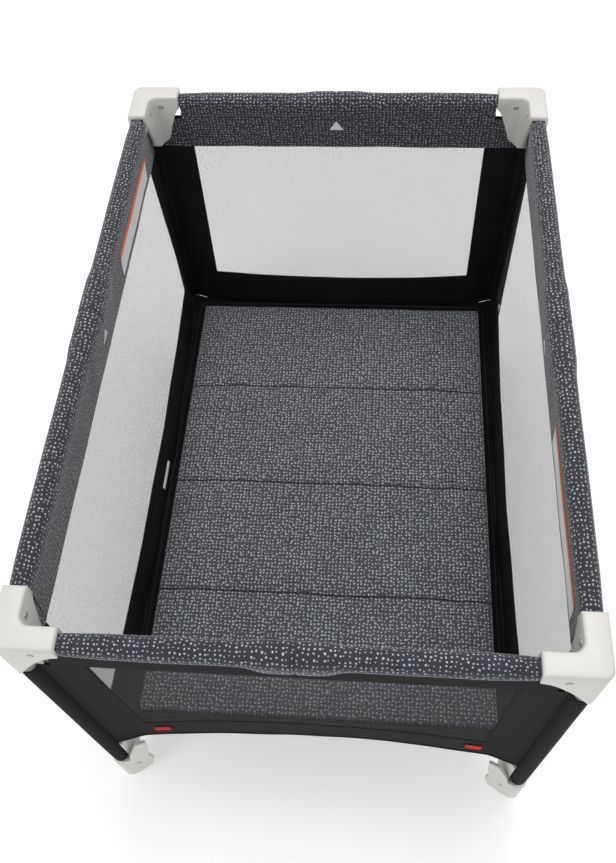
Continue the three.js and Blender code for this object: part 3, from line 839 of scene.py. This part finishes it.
def wall(side):
    points, flat, frame_faces, net_faces = wall_sheets(side)
    made = []
    sheets = (("wall_frame_", frame_faces, black_cloth), ("wall_net_", net_faces, net_cloth))
    for name, faces, material in sheets:
        used = sorted({v for face in faces for v in face})
        index = {v: i for i, v in enumerate(used)}
        piece = piece_of(name + side.name, [points[v] for v in used],
                         [tuple(index[v] for v in face) for face in faces], [flat[v] for v in used])
        if material is black_cloth:
            thick = piece.modifiers.new("cloth", "SOLIDIFY")
            thick.thickness, thick.offset = 0.0016, 0
            apply_modifiers(piece)
        smooth(piece, 50)
        dress(piece, material)
        made.append(piece)
    tall = WALL_TOP - HEM_CORNER_Z + HEM_SAG
    wide = side.length - 2 * LEG_SLEEVE_R
    window = (side.length - 2 * side.window_side) * (WINDOW_TOP - WINDOW_LOW)
    wide * tall - window
    side.length - 2 * side.window_side
    return made


def squarer(c):
    """A cosine or sine pushed outward, so that a ring of points is nearly a rectangle."""
    return math.copysign(abs(c) ** 0.6, c)


def tape(name, side, path, width, thickness):
    """A flat tape along a path of (s, z) points on the wall, wrapped over its edge."""
    rows, flat, run = [], [], 0.0
    for i, (s, z) in enumerate(path):
        a, b = path[max(0, i - 1)], path[min(len(path) - 1, i + 1)]
        along = Vector((b[0] - a[0], b[1] - a[1])).normalized()
        across = Vector((-along.y, along.x))
        t = wall_inset(side, s, z)
        ring = []
        for k in range(8):
            turn = 2 * math.pi * k / 8
            w, h = squarer(math.cos(turn)) * width / 2, squarer(math.sin(turn)) * thickness / 2
            ring.append(side.at(s + across.x * w, t + h, z + across.y * w))
        rows.append(ring)
        flat.append([(run, k * width / 4) for k in range(8)])
        run += math.hypot(b[0] - a[0], b[1] - a[1]) / 2
    piece = loft(name, rows, flat, ring=True, ends=True)
    face_outwards(piece)
    smooth(piece, 60)
    return piece


def window_path(side):
    left, right = side.window_side, side.length - side.window_side
    down = [(left, z) for z in spread([WINDOW_LOW + 0.004, WINDOW_TOP], 0.03)][::-1]
    along = [(s, WINDOW_LOW) for s in spread([left + 0.004, right - 0.004], 0.03)]
    up = [(right, z) for z in spread([WINDOW_LOW + 0.004, WINDOW_TOP], 0.03)]
    return down + along + up


for side in SIDES:
    pieces = wall(side)
    ends = [LEG_SLEEVE_R + 0.002, side.length - LEG_SLEEVE_R - 0.002]
    hem = [(s, hem_height(side, s) + 0.004) for s in spread(ends, 0.006)]
    binding = tape("hem_binding_" + side.name, side, hem, 0.011, 0.0042)
    seam = tape("window_seam_" + side.name, side, window_path(side), 0.006, 0.0030)
    for extra in (binding, seam):
        dress(extra, binding_cloth)
    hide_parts("wall_" + side.name)
    for piece in (*pieces, binding, seam):
        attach(piece, side.leg)
        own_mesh(piece)
print("walls", len(SIDES))

# %% [markdown]
# ### Leg sleeves
# A black sleeve runs from the foot's cup to the bracket's tongue. It is a tube with the shallow
# creases of tight cloth and a sewn ridge on its inner corner.


# %% Leg sleeves
def leg_sleeve(corner, sx, sy):
    around, rows, flat = 24, [], []
    low, high = RIM_Z + 0.0004, TONGUE_Z - 0.0006
    steps = 44
    for i in range(steps + 1):
        z = low + (high - low) * i / steps
        ring = []
        for k in range(around):
            turn = 2 * math.pi * k / around
            inner = math.cos(turn - math.atan2(-sy, -sx))
            crease = 0.0005 * ripple(k % around, z * 3, sx + 2 * sy, 0.35)
            tuck = 0.0010 * (ease((low + 0.014 - z) / 0.010) + ease((z - high + 0.014) / 0.010))
            radius = LEG_SLEEVE_R + 0.0006 * max(0, inner) ** 8 + crease - tuck
            x, y = sx * LEG_X + radius * math.cos(turn), sy * LEG_Y + radius * math.sin(turn)
            ring.append(Vector((x, y, z)))
        rows.append(ring)
        flat.append([(z, k * 0.004) for k in range(around)])
    sleeve = loft("leg_sleeve_" + corner, rows, flat, ring=True)
    thick = sleeve.modifiers.new("cloth", "SOLIDIFY")
    thick.thickness, thick.offset = 0.0012, -1
    apply_modifiers(sleeve)
    face_outwards(sleeve)
    smooth(sleeve, 60)
    dress(sleeve, black_cloth)
    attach(sleeve, "leg_" + corner)


for corner, (sx, sy) in CORNERS.items():
    leg_sleeve(corner, sx, sy)

# %% [markdown]
# ## Floor and strap
# The floor cloth is stretched over the lower rails and dips a little between them. Each quarter
# rides on its own rail.


# %% Floor quarters
HEM_SEAM = 0.0016
LEG_CLEARANCE = 0.0141


def floor_quarter(corner, sx, sy):
    low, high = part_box("floor_" + corner)
    z = (low.z + high.z) / 2
    ends, sides = SIDES[0], SIDES[1]
    wide, deep = high.x - low.x, high.y - low.y
    slope = math.atan2(deep, wide)
    rows, flat = [], []
    for i in range(25):
        row = []
        for j in range(33):
            u, v = i / 24, j / 32
            x, y = u * LEG_X, v * LEG_Y
            for _ in range(6):
                x = u * (LEG_X - HEM_SEAM - lean(sides, LEG_Y - y, z))
                y = v * (LEG_Y - HEM_SEAM - lean(ends, LEG_X - x, z))
            off = abs((LEG_X - x) * math.sin(slope) - (LEG_Y - y) * math.cos(slope))
            edge = min(i, 24 - i) / 12 * min(j, 32 - j) / 16
            dip = 0.0012 * edge * ease(off / 0.12)
            away = Vector((LEG_X - x, LEG_Y - y))
            if away.length < LEG_CLEARANCE:
                away = away.normalized() * LEG_CLEARANCE
                x, y = LEG_X - away.x, LEG_Y - away.y
            row.append(Vector((sx * x, sy * y, z - dip + 0.0003 * ripple(x, y, 0, 0.08))))
        rows.append(row)
        flat.append([(p.x, p.y) for p in row])
    quarter = loft("floor_cloth_" + corner, rows, flat)
    thick = quarter.modifiers.new("cloth", "SOLIDIFY")
    thick.thickness, thick.offset = 0.0012, 0
    apply_modifiers(quarter)
    smooth(quarter, 50)
    dress(quarter, black_cloth)
    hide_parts("floor_" + corner)
    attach(quarter, "lower_rail_" + corner)
    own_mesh(quarter)


for corner, (sx, sy) in CORNERS.items():
    floor_quarter(corner, sx, sy)


# %% [markdown]
# ## Pad
# The pad is four foam panels in one printed cover, sewn across between them so that it folds. The
# whole pad is one block, remeshed and blown up a little as cloth, which rounds its edges and crowns
# its top as foam in a tight cover does. It is then cut into panels at the creases, which are sunk and
# pull short tucks into the cloth.


# %% Inflate the pad
AIR_FRAMES = 20


def inflate(piece, voxel, pressure, cap):
    remesh = piece.modifiers.new("even faces", "REMESH")
    remesh.mode, remesh.voxel_size = "VOXEL", voxel
    apply_modifiers(piece)
    rest = [v.co.copy() for v in piece.data.vertices]
    cloth = piece.modifiers.new("air", "CLOTH")
    cloth.settings.use_pressure = True
    cloth.settings.uniform_pressure_force = pressure
    cloth.settings.effector_weights.gravity = 0
    cloth.settings.quality = 4
    cloth.point_cache.frame_start, cloth.point_cache.frame_end = 1, AIR_FRAMES
    scene = bpy.context.scene
    for number in range(1, AIR_FRAMES + 1):
        scene.frame_set(number)
    blown = piece.evaluated_get(bpy.context.evaluated_depsgraph_get()).data
    moved = [v.co.copy() for v in blown.vertices]
    piece.modifiers.remove(cloth)
    scene.frame_set(1)
    for vertex, start, end in zip(piece.data.vertices, rest, moved):
        step = end - start
        vertex.co = start + step * min(1.0, cap / max(step.length, 1e-9))


def block(name, low, high):
    bpy.ops.object.select_all(action="DESELECT")
    bpy.ops.mesh.primitive_cube_add(size=1, location=(low + high) / 2)
    piece = bpy.context.object
    piece.name = name
    piece.scale = high - low
    bpy.ops.object.transform_apply(location=True, rotation=True, scale=True)
    bpy.ops.object.mode_set(mode="EDIT")
    bpy.ops.mesh.select_all(action="SELECT")
    bpy.ops.mesh.bevel(offset=0.005, segments=3, affect="EDGES")
    bpy.ops.object.mode_set(mode="OBJECT")
    return piece


CAP = 0.004
low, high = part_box("pad_panel_1")
PAD_SIZE = high - low
rim = Vector((CAP, CAP, 0.0035))
pattern = block("pad_pattern", low + rim, Vector((high.x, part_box("pad_panel_4")[1].y, high.z)) - rim)
inflate(pattern, 0.007, 4.0, CAP)
print("pad pattern", len(pattern.data.vertices), "points")

# %% Pad panels
CREASE_SINK, CREASE_REACH = 0.0065, 0.007
TUCK, TUCK_REACH = 0.0034, 0.030
DENT, FINE_DENT = 0.0026, 0.0009
END_MARGIN = 0.02  # a cut this far past the pad's own end leaves it whole


def keep_between(panel, low_y, high_y):
    """Cuts a panel out of the whole pad, with flat ends where the cover is sewn across."""
    choose(panel)
    bpy.ops.object.mode_set(mode="EDIT")
    for y, facing in ((low_y, -1), (high_y, 1)):
        bpy.ops.mesh.select_all(action="SELECT")
        bpy.ops.mesh.bisect(plane_co=(0, y, 0), plane_no=(0, facing, 0), clear_outer=True, use_fill=True)
    bpy.ops.object.mode_set(mode="OBJECT")


def pad_panel(number):
    box_low, box_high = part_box(f"pad_panel_{number}")
    panel = pattern.copy()
    panel.data = pattern.data.copy()
    panel.name = f"pad_cushion_{number}"
    bpy.context.scene.collection.objects.link(panel)
    for vertex in panel.data.vertices:
        p = vertex.co
        up = ease((p.z - box_low.z) / PAD_SIZE.z)
        near = min(abs(p.y - y) for y in JOINTS)
        crease = math.exp(-near / CREASE_REACH)
        across = abs(p.x) / (PAD_SIZE.x / 2)
        side_pull = 0.45 + 0.55 * ease((across - 0.45) / 0.5)
        tuck = TUCK * math.exp(-near / TUCK_REACH) * ripple(p.x, p.y * 0.3, 0, 0.020) * (0.35 + 0.65 * across)
        swell = ripple(p.x, p.y, 0, 0.12) * DENT + ripple(p.x, p.y, 3, 0.05) * FINE_DENT
        p.z += up * (swell + tuck - CREASE_SINK * crease * side_pull)
        p.z = max(box_low.z, p.z)
    keep_between(panel, box_low.y if number > 1 else box_low.y - END_MARGIN,
                 box_high.y if number < 4 else box_high.y + END_MARGIN)
    smooth(panel, 40)
    dress(panel, pad_cloth)
    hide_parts(f"pad_panel_{number}")
    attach(panel, f"pad_panel_{number}")
    return panel


def piping(number):
    """The cord sewn round the pad's edge, on the panel's outer sides."""
    box_low, box_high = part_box(f"pad_panel_{number}")
    z = box_high.z - 0.006
    x, corner = box_high.x + 0.0004, 0.012
    end = [(-x + corner, box_high.y), (x - corner, box_high.y)]
    runs = [[(-x, box_low.y), (-x, box_high.y)], [(x, box_low.y), (x, box_high.y)]]
    if number == 4:
        runs = [[(-x, box_low.y), (-x, box_high.y - corner), *end, (x, box_high.y - corner), (x, box_low.y)]]
    if number == 1:
        low_end = [(px, box_low.y) for px, _ in end]
        runs = [[(-x, box_high.y), (-x, box_low.y + corner), *low_end, (x, box_low.y + corner),
                 (x, box_high.y)]]
    curve = bpy.data.curves.new(f"pad_piping_{number}", "CURVE")
    curve.dimensions, curve.bevel_depth, curve.bevel_resolution = "3D", 0.0022, 2
    curve.use_fill_caps = True
    for run in runs:
        spline = curve.splines.new("POLY")
        fine = []
        for a, b in zip(run, run[1:]):
            count = max(1, round(math.hypot(b[0] - a[0], b[1] - a[1]) / 0.012))
            fine += [tuple(Vector(a).lerp(Vector(b), i / count)) for i in range(count)]
        fine.append(run[-1])
        spline.points.add(len(fine) - 1)
        for point, (px, py) in zip(spline.points, fine):
            point.co = (px, py, z + 0.0008 * ripple(px, py, 1, 0.06), 1)
    cord = bpy.data.objects.new(f"pad_piping_{number}", curve)
    bpy.context.scene.collection.objects.link(cord)
    choose(cord)
    bpy.ops.object.convert(target="MESH")
    cord = bpy.context.object
    smooth(cord)
    dress(cord, binding_cloth)
    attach(cord, f"pad_panel_{number}")


for number in (1, 2, 3, 4):
    pad_panel(number)
    piping(number)
bpy.data.objects.remove(pattern)
print("pad panels", 4)


# %% Pad strap
def pad_strap():
    box_low, box_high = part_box("pad_strap")
    middle = (box_low + box_high) / 2
    rows, flat = [], []
    for i in range(41):
        x = box_low.x + (box_high.x - box_low.x) * i / 40
        rows.append([Vector((x, box_low.y + (box_high.y - box_low.y) * j / 8, middle.z)) for j in range(9)])
        flat.append([(x, j / 160) for j in range(9)])
    strap = loft("pad_webbing", rows, flat)
    thick = strap.modifiers.new("webbing", "SOLIDIFY")
    thick.thickness, thick.offset = 0.0010, 0
    apply_modifiers(strap)
    dress(strap, webbing_cloth)
    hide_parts("pad_strap")
    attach(strap, "pad_strap")


pad_strap()

# %% [markdown]
# ## Labels, marks and tabs
# Blank labels and white latch marks are sewn to the inner bands, red tabs to the front wall's lower
# strip and a white tag inside the left wall.
# Each is a small patch that lies on the cover's own surface, a hair above it.


# %% Patches on the covers
def skin_point(side, s, z, lift):
    """A point on the cover's inner band at height z below the rail's axis."""
    band, _ = skins(side, s, STRIP)
    for a, b in zip(band, band[1:]):
        if b.y <= z <= a.y:
            share = (z - a.y) / (b.y - a.y)
            p = a.lerp(b, share)
            break
    else:
        p = band[-1]
    return side.at(s, p.x + lift, RAIL_Z + p.y)


def patch(name, side, corners, material, body, lift=0.0011, cells=(16, 4)):
    """A thin patch between four (s, z) corners, with z in metres from the rail's axis."""
    (s0, z0), (s1, z1), (s2, z2), (s3, z3) = corners
    rows, flat = [], []
    for i in range(cells[0] + 1):
        a = i / cells[0]
        row, line = [], []
        for j in range(cells[1] + 1):
            b = j / cells[1]
            s = (s0 * (1 - a) + s1 * a) * (1 - b) + (s3 * (1 - a) + s2 * a) * b
            z = (z0 * (1 - a) + z1 * a) * (1 - b) + (z3 * (1 - a) + z2 * a) * b
            row.append(skin_point(side, s, z, lift))
            line.append((s, z))
        rows.append(row)
        flat.append(line)
    piece = loft(name, rows, flat)
    thick = piece.modifiers.new("cloth", "SOLIDIFY")
    thick.thickness, thick.offset = 0.0006, 0
    apply_modifiers(piece)
    dress(piece, material)
    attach(piece, body)
    return piece


by_name = {side.name: side for side in SIDES}


def label(side, s0, s1):
    body = f"top_rail_{side.name}_a"
    header, top, bottom = -0.0275, -0.0405, -0.080
    lower = patch("label_white_" + side.name, side, [(s0, top), (s1, top), (s1, bottom), (s0, bottom)],
                  label_white, body)
    upper = patch("label_header_" + side.name, side,
                  [(s0, header), (s1, header), (s1, top + 0.0005), (s0, top + 0.0005)], label_orange, body)
    gather(lower)
    gather(upper)


label(by_name["left"], 0.110, 0.342)
label(by_name["right"], 0.088, 0.350)
for name, side in by_name.items():
    s = side.length / 2
    patch("latch_mark_" + name, side,
          [(s - 0.0125, -0.051), (s + 0.0125, -0.051), (s + 0.0006, -0.030), (s - 0.0006, -0.030)],
          label_white, "latch_" + name, cells=(6, 6))


# %% Tabs on the walls
def tab(name, side, s, z, wide, tall, outward, material):
    rows, flat = [], []
    for i in range(7):
        across = s - wide / 2 + wide * i / 6
        row = []
        for j in range(5):
            up = z - tall / 2 + tall * j / 4
            bulge = 0.0012 * math.sin(math.pi * j / 4)
            row.append(side.at(across, wall_inset(side, across, up) + outward * (0.0026 + bulge), up))
        rows.append(row)
        flat.append([(across, z + j * 0.003) for j in range(5)])
    piece = loft(name, rows, flat)
    thick = piece.modifiers.new("tape", "SOLIDIFY")
    thick.thickness, thick.offset = 0.0010, 0
    apply_modifiers(piece)
    smooth(piece, 50)
    dress(piece, material)
    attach(piece, side.leg)
    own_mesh(piece)


front, left = by_name["front"], by_name["left"]
tab("red_tab_left", front, 0.098, 0.240, 0.026, 0.026, -1, red_tape)
tab("red_tab_right", front, 0.600, 0.240, 0.026, 0.026, -1, red_tape)
tab("white_tag", left, 0.494, 0.226, 0.060, 0.012, 1, label_white)
print("labels and tabs made")

# %% [markdown]
# ## Ground
# A plain pale floor takes the shadow. It isn't part of the playpen.

# %% Ground
bpy.ops.object.select_all(action="DESELECT")
bpy.ops.mesh.primitive_plane_add(size=14, location=(0, 0, 0))
ground = bpy.context.object
ground.name = "ground"
pale = Finish("pale studio floor")
tone = pale.noise(pale.place(), 3, 2.0)
ground.data.materials.append(pale.surface(
    Base_Color=pale.mix(tone, (0.86, 0.86, 0.86, 1), (0.90, 0.90, 0.90, 1)), Roughness=0.7,
    Emission_Color=(1, 1, 1, 1), Emission_Strength=0.35))
